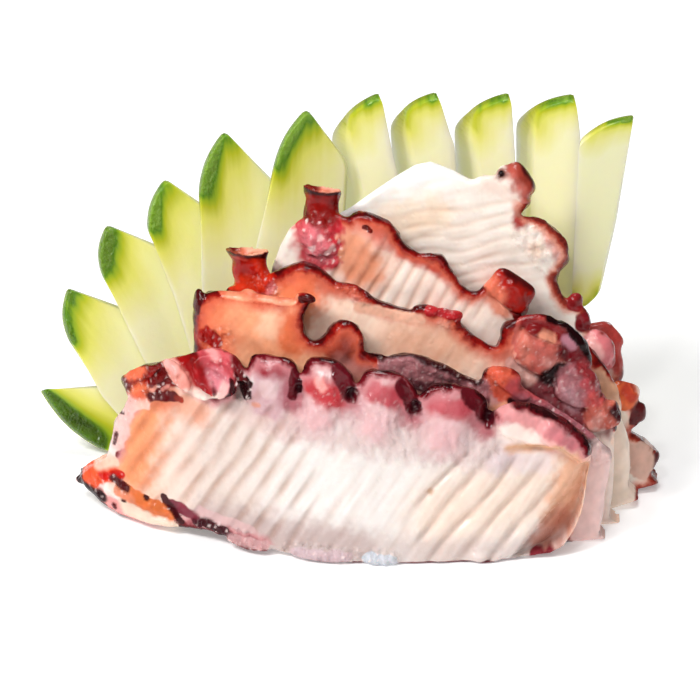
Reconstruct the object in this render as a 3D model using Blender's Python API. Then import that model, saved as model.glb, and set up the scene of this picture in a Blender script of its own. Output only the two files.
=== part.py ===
"""Sliced cooked octopus with a cucumber fan, served cold.

Six slices of one octopus arm stand one behind another and lean back a little. Eleven thin
cucumber slices stand behind them, shingled like a fan. Everything rests on a table at z = 0.

Each slice is drawn in its own plane, in millimetres: x runs to the right, and rise runs up the
slice from the table. Depth runs into the pile. place() turns the three into the object's frame.
Run: blender --background --python part.py
"""

import math

import bmesh
import bpy
from mathutils import Vector

MM = 0.001

# --- driving dimensions, in millimetres and degrees ---
LEAN = math.radians(15.0)         # how far every slice leans back from upright
GAP = 0.3                         # between pieces that touch
OCTOPUS_THICKNESS = 4.7
OCTOPUS_ROUNDING = 0.7            # of the rims of an octopus slice
CUCUMBER_THICKNESS = 2.0
CUCUMBER_ROUNDING = 0.25
SHINGLE = 0.35                    # depth gained per millimetre across a cucumber slice
RIND_FLARE = 1.0                  # how far the rind slopes outwards from front to back
RIND_BULGE = 0.9                  # how far the rind bows out between its two ends

# The pile curves back at both ends, like a low bent wall: a parabola on each side of its crest.
BEND_CREST = 5.0                  # the x that stands furthest forward
BEND_REACH = 35.0
BEND_LEFT = 12.0                  # depth gained at BEND_REACH to the left of the crest
BEND_RIGHT = 3.5                  # and to the right
STATION = 10.0                    # the bend is straight over each stretch of this length
STATIONS = [STATION * n for n in range(-4, 5)]

CUP_SEGMENTS = 20


class Sucker:
    """A sucker cut through by the knife: it rises from the skin between two points of the outline."""

    def __init__(self, height, lean=0.0, shoulders=0.6):
        self.height = height
        self.lean = lean                # positive leans the crown towards the second point
        self.shoulders = shoulders      # share of the height reached at the foot of each side

    def points(self, start, end):
        along = Vector(end) - Vector(start)
        outward = Vector((-along.y, along.x)).normalized() * self.height
        shift = 0.12 * self.lean
        return [
            Vector(start) + along * 0.08 + outward * self.shoulders,
            Vector(start) + along * (0.28 + shift) + outward,
            Vector(start) + along * (0.70 + shift) + outward * (1.0 - 0.1 * self.lean),
            Vector(start) + along * 0.93 + outward * self.shoulders * 0.9,
        ]


class Cup:
    """A whole sucker: a round, flared, hollow cup on a short stem."""

    def __init__(self, foot, rim, rim_radius, waist_radius, half_depth, hollow, forward):
        self.foot = foot                  # (x, rise) of the stem's lower end
        self.rim = rim                    # (x, rise) of the rim's centre
        self.rim_radius = rim_radius
        self.waist_radius = waist_radius
        self.half_depth = half_depth      # the rim's other radius, across the first
        self.hollow = hollow
        self.forward = forward            # how far the rim stands to the front of the slice's middle


class Slice:
    """An octopus slice. Its outline runs clockwise from the lower left: up the left end, over the
    skin edge with a Sucker between the points where one stands, down the right end and back."""

    def __init__(self, outline, cups=()):
        self.outline = outline
        self.cups = cups


SLICES = [
    Slice(
        [
            (-40.9, 4.0), (-36.6, 8.8), (-35.4, 15.0), (-33.2, 19.4), (-34.5, 21.8), (-31.0, 25.2),
            (-24.6, 28.4), (-20.6, 30.6), (-17.4, 30.2), (-15.4, 28.2), Sucker(2.8, 0.0, 0.8),
            (-7.5, 28.3), Sucker(3.2, -0.9), (0.8, 27.6), Sucker(3.0, -0.6), (10.2, 25.7),
            Sucker(3.1, 0.0), (21.0, 23.3), (24.6, 24.9), (29.4, 23.6), (33.8, 20.4), (36.3, 17.2),
            (35.6, 12.6), (34.8, 6.8), (32.0, 1.6), (27.0, 0.5), (18.0, 0.0), (-2.0, 0.0), (-14.0, 1.2),
            (-21.6, 1.8), (-29.0, 0.6), (-34.6, 0.4), (-38.2, 1.7),
        ],
        [Cup((-20.8, 24.6), (-20.2, 27.2), 3.7, 2.9, 3.0, 1.6, 4.4)],
    ),
    Slice(
        [
            (-20.5, 0.0), (-22.6, 16.0), (-23.6, 32.5), (-22.2, 36.0), (-19.4, 37.4), (-13.0, 37.9),
            (-8.0, 38.0), (-5.8, 38.2), (-6.9, 35.6), (-6.8, 33.0), (-5.4, 31.8), (-4.0, 32.6),
            Sucker(3.4, -0.3, 0.5), (2.2, 30.6), (5.4, 29.9), (9.2, 30.4), (13.4, 29.0), (19.2, 25.9),
            Sucker(2.6, 0.0), (26.0, 24.6), (29.4, 22.4), (34.0, 19.0), (38.2, 15.2), (39.4, 13.2),
            (38.3, 7.0), (37.4, 0.6), (33.0, 0.0),
        ],
    ),
    Slice(
        [
            (-17.0, 0.0), (-19.2, 14.0), (-19.8, 30.0), (-18.4, 35.8), (-13.4, 38.0), (-10.2, 40.2),
            (-7.0, 41.5), (-4.2, 40.6), (-2.0, 38.9), (1.2, 38.5), (4.2, 36.3), (9.2, 34.8),
            Sucker(0.9), (12.6, 34.5), Sucker(0.9), (16.2, 33.2), (19.0, 30.4), (22.2, 28.8),
            Sucker(3.8, -0.4, 0.7), (32.4, 30.0), (35.0, 29.2), (36.4, 26.4), (36.0, 23.6),
            Sucker(1.2), (37.0, 19.0), (40.6, 17.4), (39.8, 14.4), (39.8, 9.0), (39.0, 0.8), (36.0, 0.0),
        ],
        [Cup((-14.6, 35.6), (-15.5, 42.3), 3.4, 2.8, 2.7, 1.8, 0.8)],
    ),
    Slice(
        [
            (-9.0, 0.0), (-12.2, 14.0), (-12.6, 32.0), (-10.4, 41.6), (-7.6, 45.6), (-3.6, 47.4),
            (-0.4, 46.6), Sucker(1.9, -0.3, 0.5), (7.6, 43.4), (10.4, 41.2), (14.0, 40.9), (16.6, 36.4),
            (19.2, 35.2), Sucker(3.2, -0.2, 0.7), (26.4, 30.6), (30.0, 29.0), (36.0, 26.0),
            (40.4, 19.0), (41.0, 14.6), (42.2, 10.2), (42.0, 3.0), (39.6, 0.0),
        ],
        [Cup((-4.5, 43.2), (-4.1, 51.0), 3.0, 2.7, 2.5, 1.7, 0.7)],
    ),
    Slice(
        [
            (-8.0, 0.0), (-12.6, 12.0), (-13.4, 30.0), (-8.0, 40.4), (0.0, 46.0), (7.4, 51.2),
            (12.2, 53.1), (18.2, 50.2), Sucker(1.9, 0.2, 0.4), (27.2, 46.2), (25.4, 44.2),
            Sucker(2.2, 0.4, 0.4), (33.0, 37.0), (31.2, 34.2), (33.0, 30.4), Sucker(1.6, 0.0, 0.4),
            (35.8, 26.0), Sucker(2.6, 0.0, 0.7), (38.4, 19.2), (39.4, 17.4), Sucker(2.2, 0.0, 0.7),
            (42.4, 9.8), (45.0, 7.6), (46.6, 4.8), (45.4, 2.4), (42.0, 0.0),
        ],
    ),
    Slice(
        [
            (-1.0, 0.0), (-3.2, 12.0), (0.0, 32.0), (8.0, 41.0), (17.0, 41.5), (25.0, 36.4),
            (30.6, 28.0), (33.6, 24.9), (37.2, 24.9), Sucker(1.4), (41.0, 20.6), (41.4, 16.4),
            (39.4, 12.0), (40.6, 5.0), (37.0, 0.0),
        ],
    ),
]


class Blade:
    """A cucumber slice. Going clockwise, its rind is the bowed stretch from rind_end to tip."""

    def __init__(self, depth, roll, rind_end, tip, shoulder, foot, hip=None):
        self.depth = depth          # of its front, at its middle
        self.roll = roll            # +1 if the left side stands forward, -1 if the right side does
        self.rind_end = rind_end
        self.tip = tip
        self.shoulder = shoulder    # on the right side, below the tip
        self.foot = foot            # corners on the table, or on the slice below, from right to left
        self.hip = hip              # on the left side, below the rind


BLADES = [
    Blade(37.6, 1, (-37.4, 1.7), (-46.4, 10.4), (-36.0, 9.6), ((-20.6, 0), (-35.0, 0))),
    Blade(36.3, 1, (-41.9, 18.5), (-42.3, 26.2), (-33.3, 21.5), ((-18.2, 0), (-28.9, 0)), (-37.6, 10.5)),
    Blade(35.8, 1, (-37.2, 29.0), (-36.4, 36.4), (-28.5, 31.7), ((-12.6, 0), (-22.6, 0)), (-31.6, 17.0)),
    Blade(34.4, 1, (-30.3, 36.6), (-27.6, 44.0), (-21.8, 38.7), ((-9.2, 0), (-18.8, 0)), (-26.6, 26.6)),
    Blade(32.0, 1, (-22.5, 44.0), (-18.6, 52.7), (-11.3, 43.2), ((-9.8, 0), (-19.6, 0)), (-22.4, 30.0)),
    Blade(32.0, 1, (-11.3, 47.4), (-6.2, 55.9), (-0.8, 47.0), ((-2.4, 0), (-12.4, 0)), (-14.2, 36.0)),
    Blade(34.7, -1, (-2.6, 49.0), (4.8, 56.7), (7.2, 46.1), ((11.0, 0), (1.6, 0))),
    Blade(34.7, -1, (6.2, 50.5), (13.5, 56.7), (15.8, 50.2), ((19.0, 0), (9.6, 0))),
    Blade(34.7, -1, (15.9, 50.2), (24.4, 56.7), (25.0, 48.0), ((26.6, 0), (17.2, 0))),
    Blade(34.7, -1, (25.2, 50.9), (34.2, 56.4), (34.9, 50.8), ((34.4, 0), (25.0, 0))),
    Blade(31.6, 1, (34.6, 51.4), (42.8, 54.0), (39.8, 38.0), ((37.4, 26.8), (35.5, 25.3), (33.5, 25.9))),
]


def bend(x):
    """Depth gained at x: the parabola at the stations on each side, and straight between them."""
    def parabola(at):
        reach = BEND_LEFT if at < BEND_CREST else BEND_RIGHT
        return reach * ((at - BEND_CREST) / BEND_REACH) ** 2

    last = len(STATIONS) - 2
    left = STATIONS[min(max(math.floor((x - STATIONS[0]) / STATION), 0), last)]
    here, there = parabola(left), parabola(left + STATION)
    return here + (there - here) * (x - left) / STATION


def place(x, rise, depth):
    """The object's point, in metres, for a place on a slice. The slice's plane meets the table at
    depth / cos(LEAN), and rise climbs it from there."""
    rise = max(rise, 0.0)
    return Vector((x, rise * math.sin(LEAN) + depth / math.cos(LEAN), rise * math.cos(LEAN))) * MM


def closed_curve(points, steps):
    """A Catmull-Rom curve through the points and back to the first, in steps on each stretch."""
    curve = []
    count = len(points)
    for index in range(count):
        before, start, end, after = (points[(index + k) % count] for k in (-1, 0, 1, 2))
        for step in range(steps):
            t = step / steps
            curve.append(
                0.5 * (
                    2.0 * start
                    + (end - before) * t
                    + (2.0 * before - 5.0 * start + 4.0 * end - after) * t * t
                    + (3.0 * start - before - 3.0 * end + after) * t ** 3
                )
            )
    return curve


def inset(curve, distance):
    """The clockwise outline moved inwards along its normals."""
    moved = []
    for index, point in enumerate(curve):
        along = (curve[(index + 1) % len(curve)] - curve[index - 1]).normalized()
        moved.append(point + Vector((along.y, -along.x)) * distance)
    return moved


def finish_mesh(name, mesh):
    """Triangulates a closed bmesh, turns its faces outwards and links it as an object."""
    bmesh.ops.triangulate(mesh, faces=mesh.faces[:], ngon_method="EAR_CLIP")
    bmesh.ops.recalc_face_normals(mesh, faces=mesh.faces[:])
    data = bpy.data.meshes.new(name)
    mesh.to_mesh(data)
    mesh.free()
    piece = bpy.data.objects.new(name, data)
    bpy.context.scene.collection.objects.link(piece)
    return piece


def bridge(mesh, rings):
    """Joins rings of vertices in order with quads and closes both ends."""
    count = len(rings[0])
    for near, far in zip(rings, rings[1:]):
        for index in range(count):
            after = (index + 1) % count
            mesh.faces.new((near[index], near[after], far[after], far[index]))
    mesh.faces.new(reversed(rings[0]))
    mesh.faces.new(rings[-1])


def slab(name, outlines, thickness, rounding, depth_at, stations=()):
    """A plate between its front and back outlines, with chamfered rims, at depth_at(x, rise)."""
    front, back = outlines
    layers = [
        (inset(front, rounding), 0.0),
        (front, rounding),
        (back, thickness - rounding),
        (inset(back, rounding), thickness),
    ]
    mesh = bmesh.new()
    bridge(mesh, [[mesh.verts.new((p.x, p.y, depth)) for p in outline] for outline, depth in layers])
    for x in stations:
        everything = mesh.verts[:] + mesh.edges[:] + mesh.faces[:]
        bmesh.ops.bisect_plane(mesh, geom=everything, dist=1e-4, plane_co=(x, 0, 0), plane_no=(1, 0, 0))
    for vertex in mesh.verts:
        x, rise, depth = vertex.co
        vertex.co = place(x, rise, depth + depth_at(x, rise))
    return finish_mesh(name, mesh)


def cup_solid(name, cup, front):
    """A turned cup: its profile climbs from the foot, goes over the rim and down the hollow."""
    middle = front + OCTOPUS_THICKNESS / 2
    foot = Vector((*cup.foot, middle))
    rim = Vector((*cup.rim, middle - cup.forward))
    up = (rim - foot).normalized()
    height = (rim - foot).length
    across = up.cross(Vector((0, 0, 1))).normalized()
    through = across.cross(up) * cup.half_depth / cup.rim_radius
    profile = [
        (0.85 * cup.waist_radius, 0.0),
        (cup.waist_radius, 0.45 * height),
        (0.92 * cup.waist_radius, 0.72 * height),
        (cup.rim_radius, 0.95 * height),
        (0.93 * cup.rim_radius, height),
        (0.74 * cup.rim_radius, height - 0.35 * cup.hollow),
        (0.40 * cup.rim_radius, height - cup.hollow),
    ]
    mesh = bmesh.new()
    rings = []
    for radius, level in profile:
        ring = []
        for step in range(CUP_SEGMENTS):
            angle = math.tau * step / CUP_SEGMENTS
            x, rise, depth = foot + up * level + radius * (across * math.cos(angle) + through * math.sin(angle))
            ring.append(mesh.verts.new(place(x, rise, depth + bend(x))))
        rings.append(ring)
    bridge(mesh, rings)
    helper = finish_mesh(name, mesh)
    helper.hide_render = True
    helper.display_type = "WIRE"
    return helper


def octopus_slice(number, slice_, material):
    """A slice of arm: a bent slab whose outline has the cut suckers, with the whole ones joined on."""
    name = f"octopus_slice_{number + 1}"
    front = number * (OCTOPUS_THICKNESS + GAP)
    points = []
    for index, item in enumerate(slice_.outline):
        if isinstance(item, Sucker):
            points += item.points(slice_.outline[index - 1], slice_.outline[index + 1])
        else:
            points.append(Vector(item))
    outline = closed_curve(points, 2)
    piece = slab(
        name, (outline, outline), OCTOPUS_THICKNESS, OCTOPUS_ROUNDING,
        lambda x, rise: front + bend(x), STATIONS,
    )
    for index, cup in enumerate(slice_.cups):
        join = piece.modifiers.new(f"sucker_{index}", "BOOLEAN")
        join.operation = "UNION"
        join.object = cup_solid(f"{name}_sucker_{index}", cup, front)
    piece.data.materials.append(material)
    return piece


def cucumber_slice(number, blade, material):
    """A standing cucumber slice, sheared so that its neighbour's edge lies on it like a shingle."""
    rind_end, tip, shoulder = Vector(blade.rind_end), Vector(blade.tip), Vector(blade.shoulder)
    along = tip - rind_end
    outward = Vector((-along.y, along.x)).normalized()
    steps = 5
    rind = [
        rind_end + along * n / steps + outward * RIND_BULGE * math.sin(math.pi * n / steps)
        for n in range(steps + 1)
    ]
    feet = [Vector(corner) for corner in blade.foot]
    rest = [shoulder, *feet] + ([Vector(blade.hip)] if blade.hip else [])
    back = [point + outward * RIND_FLARE for point in rind] + rest

    # Its middle line runs from between the feet to between the rind and the shoulder.
    low = (feet[0] + feet[-1]) / 2
    axis = ((rind_end + tip) / 2 + shoulder) / 2 - low
    across = Vector((axis.y, -axis.x)).normalized()

    def depth_at(x, rise):
        return blade.depth + blade.roll * SHINGLE * across.dot(Vector((x, rise)) - low)

    piece = slab(
        f"cucumber_slice_{number:02d}", (rind + rest, back), CUCUMBER_THICKNESS, CUCUMBER_ROUNDING, depth_at
    )
    piece.data.materials.append(material)
    return piece


def make_material(name, colour, roughness):
    material = bpy.data.materials.new(name)
    material.use_nodes = True
    shader = material.node_tree.nodes["Principled BSDF"]
    shader.inputs["Base Color"].default_value = (*colour, 1.0)
    shader.inputs["Roughness"].default_value = roughness
    material.diffuse_color = (*colour, 1.0)
    return material


def centre_on_table(pieces):
    """Moves everything so that the origin is under the middle of the object's box."""
    corners = [vertex.co for piece in pieces for vertex in piece.data.vertices]
    middle = Vector([(min(c[axis] for c in corners) + max(c[axis] for c in corners)) / 2 for axis in (0, 1)])
    for piece in bpy.data.objects:
        for vertex in piece.data.vertices:
            vertex.co.xy -= middle


def main():
    for old in list(bpy.data.objects):
        bpy.data.objects.remove(old, do_unlink=True)
    octopus = make_material("octopus", (0.80, 0.52, 0.45), 0.35)
    cucumber = make_material("cucumber", (0.78, 0.82, 0.48), 0.40)
    pieces = [octopus_slice(number, slice_, octopus) for number, slice_ in enumerate(SLICES)]
    pieces += [cucumber_slice(number, blade, cucumber) for number, blade in enumerate(BLADES, start=1)]
    centre_on_table(pieces)
    for piece in pieces:
        piece.data.shade_smooth()
        piece.data.set_sharp_from_angle(angle=math.radians(35.0))


main()
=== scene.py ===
"""Looks for the sliced cooked octopus with its cucumber fan.

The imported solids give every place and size. Each octopus slice becomes a fine skin over its
solid, sculpted by formulas and marked with attributes that its finish reads. Each cucumber
slice becomes a smooth plate worked out on a grid. Lengths are millimetres until a mesh is made.
"""

from __future__ import annotations

import logging
import math
from collections.abc import Callable
from dataclasses import dataclass, field
from functools import partial

import bmesh
import bpy
import numpy as np
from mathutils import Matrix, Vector

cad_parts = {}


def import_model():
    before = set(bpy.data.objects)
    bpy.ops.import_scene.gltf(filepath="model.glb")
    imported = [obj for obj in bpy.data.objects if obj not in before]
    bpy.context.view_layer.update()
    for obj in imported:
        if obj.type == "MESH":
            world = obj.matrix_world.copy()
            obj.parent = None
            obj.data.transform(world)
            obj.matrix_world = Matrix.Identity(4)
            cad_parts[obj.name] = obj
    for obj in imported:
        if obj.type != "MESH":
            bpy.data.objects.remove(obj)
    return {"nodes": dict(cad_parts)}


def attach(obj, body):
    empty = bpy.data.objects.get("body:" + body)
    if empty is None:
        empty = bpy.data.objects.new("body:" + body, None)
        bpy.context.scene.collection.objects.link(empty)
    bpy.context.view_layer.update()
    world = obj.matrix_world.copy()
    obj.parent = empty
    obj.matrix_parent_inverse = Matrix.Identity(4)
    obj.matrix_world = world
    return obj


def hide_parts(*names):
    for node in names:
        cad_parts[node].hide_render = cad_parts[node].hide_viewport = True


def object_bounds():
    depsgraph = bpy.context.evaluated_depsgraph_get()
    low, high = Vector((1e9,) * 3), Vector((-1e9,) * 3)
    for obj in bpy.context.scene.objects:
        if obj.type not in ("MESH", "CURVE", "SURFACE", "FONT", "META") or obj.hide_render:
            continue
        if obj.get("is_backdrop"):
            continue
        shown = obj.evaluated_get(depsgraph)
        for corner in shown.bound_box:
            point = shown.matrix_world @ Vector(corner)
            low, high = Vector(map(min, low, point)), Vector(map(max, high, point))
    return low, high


Array = np.ndarray
Socket = bpy.types.NodeSocket
AddNode = Callable[..., Socket]
Place = tuple[float, float]         # (x, rise) in a slice's plane, in millimetres

LOG = logging.getLogger("octopus")
MM = 0.001
BODY = "root"
MARKS = {1: ("FLOAT", "value"), 3: ("FLOAT_VECTOR", "vector"), 4: ("FLOAT_COLOR", "color")}
SMOOTH = {"interpolation_type": "SMOOTHSTEP"}


# --- small helpers ---------------------------------------------------------------------------


def linear(colour: str) -> tuple[float, float, float, float]:
    """Turns an sRGB hex colour into linear RGBA.

    Args:
        colour: # and six hex digits.

    Returns:
        Red, green, blue and alpha, each from 0 to 1.
    """
    channels = [int(colour[i:i + 2], 16) / 255.0 for i in (1, 3, 5)]
    return (*[c / 12.92 if c <= 0.04045 else ((c + 0.055) / 1.055) ** 2.4 for c in channels], 1.0)


def add_node(
    tree: bpy.types.NodeTree, kind: str, inputs: dict | None = None, out: int | str = 0
) -> Socket | None:
    """Adds a node with its settings and links.

    Args:
        tree: the material's node tree.
        kind: the node's type name without ShaderNode.
        inputs: names of properties and names or numbers of sockets, each with its value or with
            the socket that feeds it. The name stops gives a ramp its positions and hex colours.
        out: name or number of the output that is wanted.

    Returns:
        That output, or None of a node that has none.
    """
    node = tree.nodes.new("ShaderNode" + kind)
    for key, value in (inputs or {}).items():
        if isinstance(value, Socket):
            tree.links.new(value, node.inputs[key])
        elif key == "stops":
            while len(node.color_ramp.elements) < len(value):
                node.color_ramp.elements.new(0.5)
            for stop, (position, colour) in zip(node.color_ramp.elements, value):
                stop.position, stop.color = position, linear(colour)
        elif isinstance(key, str) and hasattr(node, key):
            setattr(node, key, value)
        else:
            node.inputs[key].default_value = value
    return node.outputs[out] if node.outputs else None


def blank_material(name: str) -> tuple[bpy.types.Material, AddNode]:
    """Makes a material without nodes.

    Args:
        name: the real thing that it stands for.

    Returns:
        The material, and add_node bound to its tree.
    """
    made = bpy.data.materials.new(name)
    made.use_nodes = True
    made.node_tree.nodes.clear()
    return made, partial(add_node, made.node_tree)


def smoothstep(low: float, high: float, value: Array) -> Array:
    """Rises smoothly from 0 at low to 1 at high."""
    t = np.clip((value - low) / (high - low), 0.0, 1.0)
    return t * t * (3.0 - 2.0 * t)


def wavy(points: Array, size: float, seed: int, waves: int = 14) -> Array:
    """Smooth random relief: the mean of sine waves in random directions.

    Args:
        points: places in millimetres, one row each.
        size: the waves' typical length in millimetres.
        seed: picks the directions and phases.
        waves: how many are added.

    Returns:
        One value for each place, mostly between -1 and 1.
    """
    rng = np.random.default_rng(seed)
    directions = rng.normal(size=(waves, points.shape[1]))
    directions /= np.linalg.norm(directions, axis=1, keepdims=True)
    numbers = directions * (math.tau / size) * rng.uniform(0.7, 1.5, size=(waves, 1))
    phases = rng.uniform(0.0, math.tau, size=waves)
    return np.sin(points @ numbers.T + phases).sum(axis=1) / math.sqrt(waves)


def nearest(points: Array, targets: Array, block: int = 4096) -> Array:
    """Finds how far each point is from the nearest target.

    Args:
        points: places, one row each.
        targets: places to measure to.
        block: how many points are worked out at once.

    Returns:
        One distance for each point.
    """
    found = np.empty(len(points))
    for start in range(0, len(points), block):
        part = points[start:start + block]
        squares = (part ** 2).sum(1)[:, None] + (targets ** 2).sum(1)[None] - 2.0 * part @ targets.T
        found[start:start + block] = np.sqrt(np.maximum(squares.min(axis=1), 0.0))
    return found


def along_across(plane: Array, degrees: float) -> Array:
    """Turns places so that the first column runs along a direction and the second across it."""
    turn = math.radians(degrees)
    return plane @ np.array([[math.cos(turn), -math.sin(turn)], [math.sin(turn), math.cos(turn)]])


def off_line(plane: Array, start: Place, end: Place) -> Array:
    """Measures how far places are from a straight line.

    Args:
        plane: x and rise of every place.
        start: the line's start.
        end: its end.

    Returns:
        One distance for each place.
    """
    origin, run = np.array(start), np.subtract(end, start)
    share = np.clip((plane - origin) @ run / max(run @ run, 1e-9), 0.0, 1.0)
    return np.linalg.norm(plane - origin - share[:, None] * run, axis=1)


def shell_faces(rings: int, around: int) -> list[list[int]]:
    """Closes rings of vertices to a shell: quads between rings, and a fan to a pole at each end.

    Args:
        rings: how many there are. The first and last pole are numbered after their vertices.
        around: how many vertices each has.

    Returns:
        The vertex numbers of each face.
    """
    ring = np.arange(around)
    after = np.roll(ring, -1)
    start = (np.arange(rings - 1) * around)[:, None]
    quads = np.stack((start + ring, start + after, start + around + after, start + around + ring), -1)
    first = np.full(around, rings * around)
    base = (rings - 1) * around
    fans = [(ring, first, after), (base + after, first + 1, base + ring)]
    return quads.reshape(-1, 4).tolist() + [face for fan in fans for face in np.transpose(fan).tolist()]


def new_piece(name: str, vertices: Array, faces: list, marks: dict[str, Array]) -> bpy.types.Object:
    """Makes a smooth mesh object.

    Args:
        name: the object's name.
        vertices: places in millimetres.
        faces: vertex numbers of each face.
        marks: attributes' names, and one, three or four values for each vertex.

    Returns:
        The linked object.
    """
    mesh = bpy.data.meshes.new(name)
    mesh.from_pydata((vertices * MM).tolist(), [], faces)
    mesh.validate()
    for key, values in marks.items():
        kind, part = MARKS[values.size // len(values)]
        mesh.attributes.new(key, kind, "POINT").data.foreach_set(part, values.astype(np.float32).ravel())
    mesh.shade_smooth()
    piece = bpy.data.objects.new(name, mesh)
    bpy.context.scene.collection.objects.link(piece)
    return piece


def each(kind: type, rows: tuple[tuple, ...]) -> list:
    """Makes one of a kind from each row, which lists its fields in order."""
    return [kind(*row) for row in rows]


# --- where the slices stand ------------------------------------------------------------------


@dataclass(frozen=True)
class Pile:
    """The leaning, bent wall that the octopus slices make, as the solids were drawn."""

    origin: Place = (0.2, -27.1)    # where the slices' own x and depth start
    lean: float = math.radians(15.0)
    pitch: float = 5.0
    thickness: float = 4.7
    crest: float = 5.0              # x where the wall comes furthest forward
    reach: float = 35.0             # from the crest, where it has gone back by left or right
    left: float = 12.0
    right: float = 3.5

    def through(self) -> Array:
        """The direction straight into a slice."""
        return np.array([0.0, math.cos(self.lean), -math.sin(self.lean)])

    def bend(self, x: Array) -> Array:
        """Bends the wall: the solids' parabola, straight between stations 10 mm apart.

        Args:
            x: places along the wall.

        Returns:
            The depth gained at each.
        """
        stations = np.arange(-60.0, 61.0, 10.0)
        reach = np.where(stations < self.crest, self.left, self.right)
        return np.interp(x, stations, reach * ((stations - self.crest) / self.reach) ** 2)

    def to_slice(self, world: Array, order: int) -> Array:
        """Takes the pile's lean and bend off.

        Args:
            world: places in millimetres.
            order: the slice's place in the pile, from 0 at the front.

        Returns:
            The same places as x, rise up the slice and depth into it.
        """
        x, y = world[:, 0] - self.origin[0], world[:, 1] - self.origin[1]
        rise = world[:, 2] / math.cos(self.lean)
        depth = (y - rise * math.sin(self.lean)) * math.cos(self.lean)
        return np.column_stack((x, rise, depth - self.bend(x) - order * self.pitch))

    def to_world(self, local: Array, order: int) -> Array:
        """Leans and bends places again, the reverse of to_slice; none ends below the table.

        Args:
            local: x, rise and depth.
            order: the slice's place in the pile.

        Returns:
            World places in millimetres.
        """
        x, rise, depth = local.T
        depth = depth + self.bend(x) + order * self.pitch
        y = rise * math.sin(self.lean) + depth / math.cos(self.lean) + self.origin[1]
        return np.column_stack((x + self.origin[0], y, np.maximum(rise * math.cos(self.lean), 0.0)))


# --- what shapes and colours a slice of octopus ----------------------------------------------


class Area:
    """What lies within a radius of the line from start to end."""

    start: Place
    end: Place
    radius: float
    amount: float
    soft: float                     # width of the border, as a share of the radius

    def cover(self, plane: Array, stray: Array | float = 0.0) -> Array:
        """How far each place is inside.

        Args:
            plane: x and rise of every vertex.
            stray: how far each place's border wanders for a wide area, in millimetres.

        Returns:
            One value for each place, from 0 to the area's amount.
        """
        away = off_line(plane + stray * min(1.0, self.radius / 3.0), self.start, self.end) / self.radius
        return self.amount * smoothstep(1.0 + self.soft / 2, 1.0 - self.soft / 2, away)


@dataclass(frozen=True)
class Zone(Area):
    """Where the front is pimpled, or where the skin is missing."""

    start: Place
    end: Place
    radius: float
    amount: float = 1.0
    soft: float = 0.6


@dataclass(frozen=True)
class Stain(Area):
    """A ragged patch of colour."""

    start: Place
    end: Place
    radius: float
    colour: str
    soft: float = 0.9
    amount: float = 1.0
    level: bool = False             # only on what faces up


def strongest(zones: list[Zone], plane: Array) -> Array:
    """The greatest cover by any of the zones at each place."""
    return np.max([np.zeros(len(plane)), *[zone.cover(plane) for zone in zones]], axis=0)


@dataclass(frozen=True)
class Swell:
    """A rounded rise of the front along a line; a negative height makes a hollow."""

    start: Place
    end: Place
    radius: float
    height: float
    flat: float = 0.15              # share of the radius that stays level

    def relief(self, plane: Array) -> Array:
        """Millimetres that each place moves forward."""
        away = off_line(plane, self.start, self.end) / self.radius
        return self.height * smoothstep(1.0, self.flat, away)


@dataclass(frozen=True)
class Facet:
    """A slanting cut: right of the line from start up to end, the front falls back."""

    start: Place
    end: Place
    slope: float                    # millimetres back for each millimetre from the line
    limit: float

    def relief(self, plane: Array) -> Array:
        """Lets the front fall back, in proportion to the distance from the line.

        Args:
            plane: x and rise of every vertex.

        Returns:
            Millimetres that each place moves forward, which is never above zero.
        """
        run = np.subtract(self.end, self.start)
        away = (plane - self.start) @ np.array([run[1], -run[0]]) / np.linalg.norm(run)
        return -np.clip(away * self.slope, 0.0, self.limit)


@dataclass(frozen=True)
class Ripple:
    """Parallel ridges that a wavy-bladed knife leaves on a cut face, within an ellipse."""

    angle: float                    # of the ridges' run, in degrees above the x axis
    pitch: float
    depth: float
    centre: Place
    radii: Place
    tint: float = 0.8               # how much of the groove colour, its tone and painted shade, shows
    sway: float = 0.15              # sideways wander of a ridge, in millimetres

    def groove(self, plane: Array) -> Array:
        """How deep in a groove each place is: round crests and narrow grooves.

        Args:
            plane: x and rise of every vertex.

        Returns:
            One value for each place, from 0 to about 1.
        """
        across = along_across(plane, self.angle)[:, 1] + self.sway * wavy(plane, 11.0, seed=3)
        inside = (((plane - self.centre) / np.array(self.radii)) ** 2).sum(axis=1)
        wave = 0.5 - 0.5 * np.cos(math.tau * across / self.pitch)
        return smoothstep(1.0, 0.5, inside) * wave ** 2.2 * (0.8 + 0.2 * wavy(plane, 7.0, seed=8))


@dataclass(frozen=True)
class Lump:
    """A rounded mass of flesh or skin that grows out of the slice."""

    place: tuple[float, float, float]       # x, rise and depth
    radii: tuple[float, float, float]
    turn: float = 0.0                       # in the slice's plane, in degrees
    square: float = 1.0                     # 1 is a ball, and less is more like a box

    def shell(self, pile: Pile, order: int, rings: int = 11, around: int = 20) -> tuple[Array, list]:
        """A ball on a grid of angles down and around, stretched, turned and set in the pile.

        Args:
            pile: where the slices stand.
            order: the slice's place in the pile.
            rings: how many there are between the poles.
            around: how many vertices each has.

        Returns:
            Vertices in millimetres and faces.
        """
        angles = np.linspace(0.0, math.pi, rings + 2)[1:-1], np.arange(around) * math.tau / around
        down, turn = np.meshgrid(*angles, indexing="ij")
        ball = np.stack((np.sin(down) * np.cos(turn), np.cos(down), np.sin(down) * np.sin(turn)), -1)
        ball = np.vstack((ball.reshape(-1, 3), [[0, 1, 0], [0, -1, 0]]))
        ball = np.sign(ball) * np.abs(ball) ** self.square * self.radii
        ball[:, :2] = along_across(ball[:, :2], -self.turn)
        return pile.to_world(ball + self.place, order), shell_faces(rings, around)


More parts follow.
